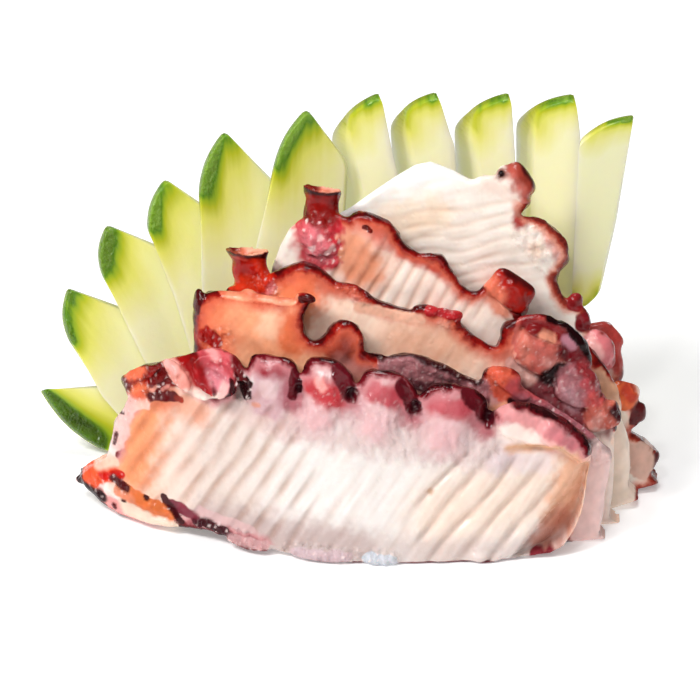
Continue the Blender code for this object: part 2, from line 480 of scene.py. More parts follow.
@dataclass(frozen=True)
class Flesh:
    """Boiled octopus, moist and a little see-through. The cut flesh is milky; the skin is a thin
    wet maroon film, and a band under it takes up its colour."""

    name: str
    blush: str                      # the band under the skin
    skin: str
    film: str                       # the darkest edge of the skin
    reach: float                    # width of the blush in millimetres

    def colour(self, add: AddNode, depth: Socket, fade: Socket, mottle: Socket) -> Socket:
        """Colours the flesh: film, skin and blush within 1.3 mm, which fade to the milky flesh.

        Args:
            add: adds a node to the tree.
            depth: how far the place is from the skin, in millimetres.
            fade: 0 at the skin and 1 where the blush has ended.
            mottle: the coarse mottling.

        Returns:
            The colour socket.
        """
        flesh = add("Attribute", {"attribute_name": "flesh"}, "Color")
        level = add("Math", {"operation": "DIVIDE", 0: depth, 1: 2.0, "use_clamp": True})
        stops = (0.04, self.film), (0.28, self.skin), (0.62, self.blush)
        rim = add("ValToRGB", {"Fac": level, "stops": stops})
        limits = {"From Min": 0.3, "From Max": 0.7, "To Min": 0.985, "To Max": 1.01}
        tint = add("MapRange", {"Value": mottle, **limits})
        milky = add("VectorMath", {"operation": "SCALE", 0: flesh, "Scale": tint})
        return add("Mix", {"data_type": "RGBA", 0: fade, 6: rim, 7: milky}, 2)

    def relief(self, add: AddNode, place: Socket, fade: Socket, wet: Socket, fine: Socket) -> Socket:
        """Raises a fine grain, and clear beads of cooking juice, 1.5 mm apart, on all that is moist.

        Args:
            add: adds a node to the tree.
            place: the object's own coordinates.
            fade: 0 at the skin and 1 where the blush has ended.
            wet: 1 in the pimpled zones.
            fine: the fine mottling.

        Returns:
            The normal socket.
        """
        beads = add("TexVoronoi", {"Vector": place, "Scale": 650.0})
        bead = add("MapRange", {"Value": beads, "From Min": 0.34, "From Max": 0.0, **SMOOTH})
        film = add("Math", {"operation": "MULTIPLY_ADD", 0: fade, 1: -0.19, 2: 0.20})
        grainy = add("Math", {"operation": "MULTIPLY_ADD", 0: wet, 1: 0.9, 2: film, "use_clamp": True})
        moist = add("Math", {"operation": "MULTIPLY_ADD", 0: grainy, 1: 0.5, 2: 0.12})
        drops = add("Math", {"operation": "MULTIPLY", 0: bead, 1: moist})
        height = add("Math", {"operation": "MULTIPLY_ADD", 0: fine, 1: grainy, 2: drops})
        return add("Bump", {"Height": height, "Distance": 0.0003})

    def material(self) -> bpy.types.Material:
        """Builds the finish from the attributes under_skin, wet, flesh and patch.

        Returns:
            The material.
        """
        made, add = blank_material(self.name)
        place = add("TexCoord", out="Object")
        under = add("Attribute", {"attribute_name": "under_skin"}, "Fac")
        patch = add("Attribute", {"attribute_name": "patch"}, "Color")
        wet = add("Attribute", {"attribute_name": "wet"}, "Fac")
        # Mottling of 1.5 mm, and a fine one of 0.4 mm that roughens every border.
        mottle = add("TexNoise", {"Vector": place, "Scale": 650.0, "Detail": 4.0})
        fine = add("TexNoise", {"Vector": place, "Scale": 2400.0, "Detail": 3.0})
        shake = add("Math", {"operation": "MULTIPLY_ADD", 0: mottle, 1: 1.3, 2: -0.78})
        shake = add("Math", {"operation": "MULTIPLY_ADD", 0: fine, 1: 0.25, 2: shake})
        depth = add("Math", {"operation": "ADD", 0: under, 1: shake})
        fade = add("MapRange", {"Value": depth, "From Min": 0.7, "From Max": 0.7 + self.reach, **SMOOTH})
        # The patches end in a border that the mottling makes uneven.
        alpha = patch.node.outputs["Alpha"]
        border = add("Math", {"operation": "MULTIPLY_ADD", 0: shake, 1: 0.16, 2: alpha})
        cover = add("MapRange", {"Value": border, "From Min": 0.2, "From Max": 0.8, **SMOOTH})
        flesh = self.colour(add, depth, fade, mottle)
        colour = add("Mix", {"data_type": "RGBA", 0: cover, 6: flesh, 7: patch}, 2)
        # Wet film: the skin is glossy all over, the cut flesh in droplets, the pimpled zones most.
        limits = {"From Min": 0.35, "From Max": 0.65, "To Min": 0.15, "To Max": 0.36}
        damp = add("MapRange", {"Value": mottle, **limits})
        rough = add("Mix", {0: fade, 2: 0.12, 3: damp})
        rough = add("Mix", {0: cover, 2: rough, 3: 0.13})
        rough = add("Mix", {0: wet, 2: rough, 3: 0.09})
        shader = add("BsdfPrincipled", {
            "Base Color": colour, "Roughness": rough, "Normal": self.relief(add, place, fade, wet, fine),
            "IOR": 1.36, "Specular IOR Level": 0.36, "Subsurface Weight": 0.2,
            "Subsurface Scale": 0.0012, "Subsurface Radius": (1.0, 0.45, 0.3),
        })
        add("OutputMaterial", {"Surface": shader})
        return made


# --- octopus ---------------------------------------------------------------------------------


@dataclass
class OctopusSlice:
    """One slice of arm, sculpted over its solid."""

    order: int                              # its place in the pile, from 0 at the front
    finish: Flesh
    milk: str                               # the flesh away from every stain
    groove: str                             # the flesh in the knife's grooves: a creamier tone with painted shade
    ripples: list[Ripple] = field(default_factory=list)
    swells: list[Swell | Facet] = field(default_factory=list)
    fibres: float = 58.0                    # direction of the fine streaks, in degrees
    grains: list[Zone] = field(default_factory=list)       # where the front is pimpled and wet
    lumps: list[Lump] = field(default_factory=list)
    stains: list[Stain] = field(default_factory=list)      # in the flesh
    patches: list[Stain] = field(default_factory=list)     # over skin and flesh
    bare: list[Zone] = field(default_factory=list)         # where no skin covers the rim
    voxel: float = 0.28                     # size of the mesh's quads
    skin_voxel: float = 0.5                 # the same, where only the outline is wanted
    sink: float = 0.35                      # how far the top stands below the solid's
    taper: float = 2.0                      # how much further it sinks from front to back
    streak_height: float = 0.012            # of the fine streaks
    pimple_height: float = 0.24
    waver: float = 0.05                     # slow unevenness of the cut face
    lumpiness: tuple[float, float] = (0.09, 0.03)           # of the skin, coarse and fine
    glint_colour: str = "#f9e2dd"                  # painted glints: pale specks on the pimpled, wet zones

    @property
    def node(self) -> str:
        """The solid's name."""
        return f"octopus_slice_{self.order + 1}"

    def remeshed(
        self, solid: bpy.types.Object, pile: Pile, voxel: float, lumps: list[Lump]
    ) -> tuple[Array, Array, list]:
        """Covers a merged copy of the solid and its lumps with even small quads, and softens them.

        Args:
            solid: the CAD node, which is left as it is.
            pile: where the slices stand.
            voxel: size of the quads in millimetres.
            lumps: masses to join to it.

        Returns:
            Vertices in millimetres, their normals, and the faces.
        """
        shell = bmesh.new()
        shell.from_mesh(solid.data)
        bmesh.ops.remove_doubles(shell, verts=shell.verts[:], dist=1e-6)
        bmesh.ops.scale(shell, vec=(1.0 / MM,) * 3, verts=shell.verts[:])
        for lump in lumps:
            places, faces = lump.shell(pile, self.order)
            corners = [shell.verts.new(place) for place in places]
            for face in faces:
                shell.faces.new([corners[n] for n in face])
        mesh = bpy.data.meshes.new("shell")
        shell.to_mesh(mesh)
        shell.free()
        helper = bpy.data.objects.new("shell", mesh)
        bpy.context.scene.collection.objects.link(helper)
        remesh = helper.modifiers.new("even", "REMESH")
        remesh.mode = "VOXEL"
        remesh.voxel_size = voxel
        soften = helper.modifiers.new("soften", "SMOOTH")
        soften.factor = 0.5
        soften.iterations = 5
        made = helper.evaluated_get(bpy.context.evaluated_depsgraph_get()).to_mesh()
        count = len(made.vertices)
        vertices, normals = np.empty(count * 3), np.empty(count * 3)
        made.vertices.foreach_get("co", vertices)
        made.vertex_normals.foreach_get("vector", normals)
        faces = [tuple(face.vertices) for face in made.polygons]
        bpy.data.objects.remove(helper)
        return vertices.reshape(-1, 3), normals.reshape(-1, 3), faces

    def skin_line(self, solid: bpy.types.Object, pile: Pile) -> Array:
        """Finds where skin covers the solid's outline.

        Args:
            solid: the CAD node.
            pile: where the slices stand.

        Returns:
            x and rise of every third place.
        """
        world, normals, _ = self.remeshed(solid, pile, self.skin_voxel, [])
        plane = pile.to_slice(world, self.order)[:, :2]
        keep = np.abs(normals @ pile.through()) < 0.5
        for zone in self.bare:
            keep &= zone.cover(plane) < 0.5
        return plane[keep][::3]

    def painted(self, plane: Array, groove: Array, up: Array, grain: Array) -> tuple[Array, Array]:
        """Lays the stains and patches over the milky flesh, paints shade into the grooves and glints on the
        pimpled zones, and makes strong colours uneven.

        Args:
            plane: x and rise of every vertex.
            groove: how deep in a groove each one is, which darkens its colour as painted shade.
            up: how far each one faces up.
            grain: how pimpled and wet each one is, which also sets where glints are painted.

        Returns:
            Two sets of linear RGBA: the flesh, and the patches with their cover.
        """
        stray = 0.4 * np.column_stack((wavy(plane, 3.0, seed=31), wavy(plane, 3.0, seed=32)))
        stray += 0.2 * np.column_stack((wavy(plane, 1.2, seed=33), wavy(plane, 1.2, seed=34)))
        flesh = np.tile(linear(self.milk), (len(plane), 1))
        for stain in self.stains:
            flesh += (np.array(linear(stain.colour)) - flesh) * stain.cover(plane, stray)[:, None]
        # Painted shade: the flesh takes the groove colour in the knife's grooves, and a little along the
        # fine streaks.
        darker = np.array(linear(self.groove)) / linear(self.milk)
        flesh *= 1.0 + (darker - 1.0) * np.clip(groove, -0.3, 1.0)[:, None]
        patch = np.zeros((len(plane), 4))
        for stain in self.patches:
            cover = stain.cover(plane, stray)[:, None]
            if stain.level:
                cover = cover * smoothstep(0.25, 0.6, up)[:, None]
            left = patch[:, 3:] * (1.0 - cover)
            both = cover + left
            mixed = linear(stain.colour)[:3] * cover + patch[:, :3] * left
            patch = np.hstack((mixed / np.maximum(both, 1e-6), both))
        # Painted glints: pale specks over the pimpled zones.
        painted_glints = 0.75 * grain ** 1.5 * smoothstep(0.7, 1.7, wavy(plane, 1.0, seed=37, waves=24))
        for layer, share in ((flesh, 0.4), (patch, 1.0)):
            vivid = 1.0 - layer[:, :3].min(axis=1) / np.maximum(layer[:, :3].max(axis=1), 1e-4)
            wander = 0.12 * wavy(plane, 2.6, seed=35, waves=20) + 0.06 * wavy(plane, 1.0, seed=36, waves=24)
            layer[:, :3] *= np.clip(1.0 + share * vivid * wander, 0.5, 1.5)[:, None]
            layer[:, :3] += (np.array(linear(self.glint_colour))[:3] - layer[:, :3]) * painted_glints[:, None]
        return flesh, patch

    def build(self, solid: bpy.types.Object, pile: Pile) -> bpy.types.Object:
        """Sculpts the slice and marks it for its finish.

        Args:
            solid: the CAD node.
            pile: where the slices stand.

        Returns:
            The finished piece.
        """
        skin = self.skin_line(solid, pile)
        world, normals, faces = self.remeshed(solid, pile, self.voxel, self.lumps)
        local = pile.to_slice(world, self.order)
        plane = local[:, :2].copy()
        front = smoothstep(-0.3, -0.8, normals @ pile.through())
        under = nearest(plane, skin)
        under += 4.0 * smoothstep(0.2, 0.8, strongest(self.bare, plane))
        cut_flesh = smoothstep(0.6, 2.0, under)
        # Relief of the front, in millimetres: ripples, swells, fine streaks and pimples.
        push = sum(swell.relief(plane) for swell in self.swells)
        groove = np.zeros(len(plane))
        for ripple in self.ripples:
            cut = ripple.groove(plane) * smoothstep(0.5, 2.0, under)
            push -= ripple.depth * cut
            # The grooves' mask also gives their painted shade.
            groove = np.maximum(groove, cut * ripple.tint)
        long = along_across(plane, self.fibres) / (9.0, 1.0)
        streak = wavy(long, 1.1, seed=90 + self.order, waves=30)
        streak += 0.8 * wavy(long, 2.6, seed=91 + self.order, waves=20)
        push += self.streak_height * streak * cut_flesh
        # The fine streaks shade the colour faintly too: painted shade and light.
        groove = groove - 0.07 * streak * cut_flesh
        grain = strongest(self.grains, plane)
        push += self.pimple_height * grain * wavy(local * (1.0, 0.6, 1.0), 1.2, seed=41, waves=24)
        through = np.clip(local[:, 2] / pile.thickness, 0.0, 1.0)
        local[:, 1] -= smoothstep(2.0, 14.0, local[:, 1]) * (self.sink + self.taper * through)
        local[:, 2] -= (push + self.waver * wavy(local, 4.0, seed=20 + self.order)) * front
        world = pile.to_world(local, self.order)
        # The skin is lumpy at two sizes; the cut flesh only faintly.
        coarse = wavy(local, 3.2, seed=50 + self.order)
        fine = wavy(local, 1.3, seed=60 + self.order, waves=20)
        lumpy = self.lumpiness[0] * coarse + self.lumpiness[1] * fine
        skinned = 0.15 + 0.85 * smoothstep(0.9, 0.2, under)
        world += normals * (lumpy * skinned * (1.0 - 0.6 * front))[:, None]
        world[:, 2] = np.maximum(world[:, 2], 0.0)
        flesh, patch = self.painted(plane, groove * (front > 0.2), normals[:, 2], grain)
        under += 0.22 * wavy(plane, 7.0, seed=70 + self.order)
        marks = {"under_skin": under, "wet": grain, "flesh": flesh, "patch": patch}
        piece = new_piece(f"slice_{self.order + 1}", world, faces, marks)
        piece.data.materials.append(self.finish.material())
        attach(piece, BODY)
        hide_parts(self.node)
        return piece


# --- cucumber --------------------------------------------------------------------------------


@dataclass(frozen=True)
class Cucumber:
    """Fresh cucumber: wet, pale flesh that turns yellow, lime and green towards a glossy rind."""

    name: str = "cucumber flesh and rind"
    stops: tuple[tuple[float, str], ...] = (        # shares of the spread, and the colour there
        (0.0, "#82a43c"), (0.045, "#5c881e"), (0.10, "#93a826"), (0.17, "#b6b82c"), (0.32, "#dad66e"),
        (0.52, "#e4df96"), (0.90, "#edeac2"),
    )
    dark: str = "#31470c"           # the rind of the outermost slice

    def material(self) -> bpy.types.Material:
        """Builds the finish from the attributes along, under_rind and dark_rind.

        Returns:
            The material.
        """
        made, add = blank_material(self.name)
        place = add("TexCoord", out="Object")
        along = add("Attribute", {"attribute_name": "along"}, "Vector")
        under = add("Attribute", {"attribute_name": "under_rind"}, "Fac")
        shade = add("Attribute", {"attribute_name": "dark_rind"}, "Fac")
        # Long streaks of 3 mm across, and small pimples.
        streaks = add("TexNoise", {"Vector": along, "Scale": 0.35, "Detail": 3.0})
        pimples = add("TexNoise", {"Vector": place, "Scale": 1300.0, "Detail": 2.0})
        level = add("Math", {"operation": "MULTIPLY_ADD", 0: streaks, 1: 0.5, 2: under})
        level = add("Math", {"operation": "SUBTRACT", 0: level, 1: 0.25, "use_clamp": True})
        ramp = add("ValToRGB", {"Fac": level, "stops": self.stops})
        rind = add("MapRange", {"Value": level, "From Min": 0.09, "From Max": 0.0})
        darker = add("Math", {"operation": "MULTIPLY", 0: rind, 1: shade})
        colour = add("Mix", {"data_type": "RGBA", 0: darker, 6: ramp, 7: linear(self.dark)}, 2)
        relief = add("Math", {"operation": "MULTIPLY_ADD", 0: rind, 1: 0.9, 2: 0.04})
        bump = add("Bump", {"Height": pimples, "Strength": relief, "Distance": 0.0006})
        shader = add("BsdfPrincipled", {
            "Base Color": colour, "Normal": bump, "Roughness": 0.24, "IOR": 1.38,
            "Subsurface Weight": 0.6, "Subsurface Scale": 0.004, "Subsurface Radius": (0.8, 1.0, 0.4),
        })
        add("OutputMaterial", {"Surface": shader})
        return made


@dataclass
class CucumberSlice:
    """One plate of the fan, between the front and back outlines of its solid."""

    number: int
    rind: float                     # length of the outline before the tip that is rind
    spread: float                   # how far the rind's green fades into the flesh
    dark: float = 0.0               # how dark the rind is, from 0 to 1
    band: float = 0.55              # how far the rind's green reaches over the front
    pale: float = 0.0               # how much sooner the green has faded at the rind's tip
    foot: float = 0.0               # how far below the foot its rind is, or 0 where it has none
    sink: float = 0.8               # how far the top stands below the solid's
    around: int = 160
    rings: int = 14

    @property
    def node(self) -> str:
        """The solid's name."""
        return f"cucumber_slice_{self.number:02d}"

    def outlines(self, solid: bpy.types.Object) -> tuple[Array, Array]:
        """Reads the solid's front and back outlines, each sorted clockwise from its tip.

        Args:
            solid: the CAD node, a convex plate.

        Returns:
            Front and back corners in millimetres.
        """
        corners = np.empty(len(solid.data.vertices) * 3)
        solid.data.vertices.foreach_get("co", corners)
        corners = np.unique(np.round(corners.reshape(-1, 3) / MM, 4), axis=0)
        middle = corners.mean(axis=0)
        normal = np.linalg.svd(corners - middle)[2][2]
        normal *= np.sign(normal[1])
        offset = (corners - middle) @ normal
        sides = []
        for side in (-1, 1):
            half = corners[offset * side > 0]
            level = np.abs(offset[offset * side > 0])
            ring = half[level < (level.min() + level.max()) / 2]
            centre = ring.mean(axis=0)
            angle = np.arctan2(ring[:, 0] - centre[0], ring[:, 2] - centre[2])
            ring = ring[np.argsort(angle)]
            sides.append(np.roll(ring, -int(ring[:, 2].argmax()), axis=0))
        return sides[0], sides[1]

    def resample(self, ring: Array) -> Array:
        """Walks a closed outline in even steps, and softens its corners by averaging twice.

        Args:
            ring: the corners in order.

        Returns:
            As many places as the plate has around it.
        """
        closed = np.vstack((ring, ring[:1]))
        along = np.concatenate(([0.0], np.cumsum(np.linalg.norm(np.diff(closed, axis=0), axis=1))))
        steps = np.linspace(0.0, along[-1], self.around, endpoint=False)
        walked = np.column_stack([np.interp(steps, along, closed[:, axis]) for axis in range(3)])
        for _ in range(2):
            walked = (np.roll(walked, 1, axis=0) + 2.0 * walked + np.roll(walked, -1, axis=0)) / 4.0
        return walked

    def under_rind(self, vertices: Array, front: Array, back: Array) -> Array:
        """Works out how far each vertex is from the rind, as the green sees it.

        Args:
            vertices: the plate's places in millimetres.
            front: the front outline.
            back: the back outline.

        Returns:
            Distances as shares of the spread, less where the green band is wide.
        """
        lengths = np.linalg.norm(np.roll(front, -1, axis=0) - front, axis=1)
        before_tip = lengths.sum() - np.concatenate(([0.0], np.cumsum(lengths)[:-1]))
        rind = before_tip < self.rind
        under = nearest(vertices, np.vstack((front[rind], back[rind])))
        # The green band is widest in the middle of the rind's stretch.
        along = np.interp(-vertices[:, 2], -front[rind][::-1, 2], np.linspace(0.0, 1.0, rind.sum()))
        under = np.maximum(under - self.band * (0.25 + np.sin(along * math.pi)), 0.0)
        under += self.pale * along
        if self.foot:
            base = front[front[:, 2] < front[:, 2].min() + 2.0]
            under = np.minimum(under, nearest(vertices, base) + self.foot * 0.5)
        return under / self.spread

    def build(self, solid: bpy.types.Object, finish: bpy.types.Material) -> bpy.types.Object:
        """Makes the plate: rings run from the front's middle to its rim, over the edge and back.

        Args:
            solid: the CAD node.
            finish: the cucumber's material.

        Returns:
            The finished piece.
        """
        front, back = (self.resample(ring) for ring in self.outlines(solid))
        back[:, 0] += 0.5 * smoothstep(8.0, 30.0, back[:, 2])
        for ring, share in ((front, 0.6), (back, 1.3)):
            ring[:, 2] -= self.sink * share * smoothstep(15.0, 50.0, ring[:, 2])
        low, high = front.mean(axis=0), back.mean(axis=0)
        # The rings stand closer towards the rim, so that its edge is round.
        shares = np.sin(np.linspace(0.0, 1.0, self.rings) * math.pi / 2.0)[1:, None, None]
        rows = np.concatenate((low + (front - low) * shares, high + (back - high) * shares[::-1]))
        vertices = np.vstack((rows.reshape(-1, 3), low, high))
        faces = [face[::-1] for face in shell_faces(len(rows), self.around)]
        tip = front[0] - low
        tip /= np.linalg.norm(tip)
        run = vertices @ tip
        across = (vertices - run[:, None] * tip)[:, 0]
        marks = {
            "under_rind": self.under_rind(vertices, front, back),
            "dark_rind": np.full(len(vertices), self.dark),
            "along": np.column_stack((across, run / 10.0, np.full(len(run), 7.0 * self.number))),
        }
        piece = new_piece(f"cucumber_{self.number:02d}", vertices, faces, marks)
        piece.data.materials.append(finish)
        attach(piece, BODY)
        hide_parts(self.node)
        return piece


# --- the set ---------------------------------------------------------------------------------


@dataclass(frozen=True)
class Lamp:
    """A square lamp that faces the object, in metres and watts."""

    name: str
    place: tuple[float, float, float]
    size: float
    power: float

    def build(self) -> None:
        """Adds the lamp."""
        light = bpy.data.lights.new(self.name, "AREA")
        light.size = self.size
        light.energy = self.power
        holder = bpy.data.objects.new(self.name, light)
        holder.location = self.place
        aim = Vector((0.0, 0.0, 0.03)) - Vector(self.place)
        holder.rotation_euler = aim.to_track_quat("-Z", "Y").to_euler()
        bpy.context.scene.collection.objects.link(holder)


@dataclass(frozen=True)
class Studio:
    """A white table, a white surround, large soft lights and a long lens, in metres."""

    lamps: tuple[Lamp, ...] = (
        Lamp("key", (-0.50, -0.35, 0.70), 0.3, 6.2),
        Lamp("front", (0.20, -0.95, 0.50), 0.6, 1.9),
        Lamp("top", (0.05, 0.12, 0.9), 0.3, 3.6),
        Lamp("glint", (-0.15, -0.55, 0.70), 0.09, 1.2),
    )
    surround: float = 0.07          # strength of the white surround
    reach: float = 3.0              # from the middle of the table to its edge
    elevation: float = math.radians(25.0)
    frame_width: float = 0.105      # what the picture spans at the object
    lens: float = 900.0
    sensor: float = 36.0

    def floor(self) -> None:
        """Lays a wide matt white sheet under the object."""
        mesh = bpy.data.meshes.new("table")
        corners = [(self.reach * x, self.reach * y, 0.0) for x, y in ((-1, -1), (1, -1), (1, 1), (-1, 1))]
        mesh.from_pydata(corners, [], [(0, 1, 2, 3)])
        table = bpy.data.objects.new("table", mesh)
        bpy.context.scene.collection.objects.link(table)
        paper, add = blank_material("matt white paper")
        shader = add("BsdfPrincipled", {
            "Base Color": linear("#f7f7f7"), "Roughness": 0.9, "Specular IOR Level": 0.1,
            "Emission Color": (1.0, 1.0, 1.0, 1.0), "Emission Strength": 0.25,
        })
        add("OutputMaterial", {"Surface": shader})
        mesh.materials.append(paper)
        table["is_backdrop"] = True

    def camera(self, front_y: float) -> None:
        """Aims the lens down at the pile.

        Args:
            front_y: where the solids begin, in metres.
        """
        target = Vector((0.0002, front_y + 0.015, 0.0286))
        away = Vector((0.0, -math.cos(self.elevation), math.sin(self.elevation)))
        eye = bpy.data.cameras.new("camera")
        eye.lens = self.lens
        eye.sensor_width = self.sensor
        holder = bpy.data.objects.new("camera", eye)
        holder.location = target + away * self.lens * self.frame_width / self.sensor
        holder.rotation_euler = (-away).to_track_quat("-Z", "Y").to_euler()
        bpy.context.scene.collection.objects.link(holder)
        bpy.context.scene.camera = holder

    def build(self, front_y: float) -> None:
        """Sets the floor, the lights, the surround and the camera.

        Args:
            front_y: where the solids begin, in metres.
        """
        self.floor()
        for lamp in self.lamps:
            lamp.build()
        world = bpy.data.worlds.new("white surround")
        world.use_nodes = True
        world.node_tree.nodes["Background"].inputs["Color"].default_value = (1.0, 1.0, 1.0, 1.0)
        world.node_tree.nodes["Background"].inputs["Strength"].default_value = self.surround
        scene = bpy.context.scene
        scene.world = world
        scene.view_settings.view_transform = "Standard"
        self.camera(front_y)


# --- the helping -----------------------------------------------------------------------------
# Each row lists the fields of its class in order.


FRONT = Flesh("front slice, pale flesh and maroon skin", "#c88084", "#6e101a", "#2c0509", 1.8)
WARM = Flesh("inner slices, peach flesh and red skin", "#cf5a40", "#8e140f", "#450709", 2.3)
BACK = Flesh("back slice, white flesh and rosy skin", "#e0927a", "#a23c2e", "#661c18", 1.4)

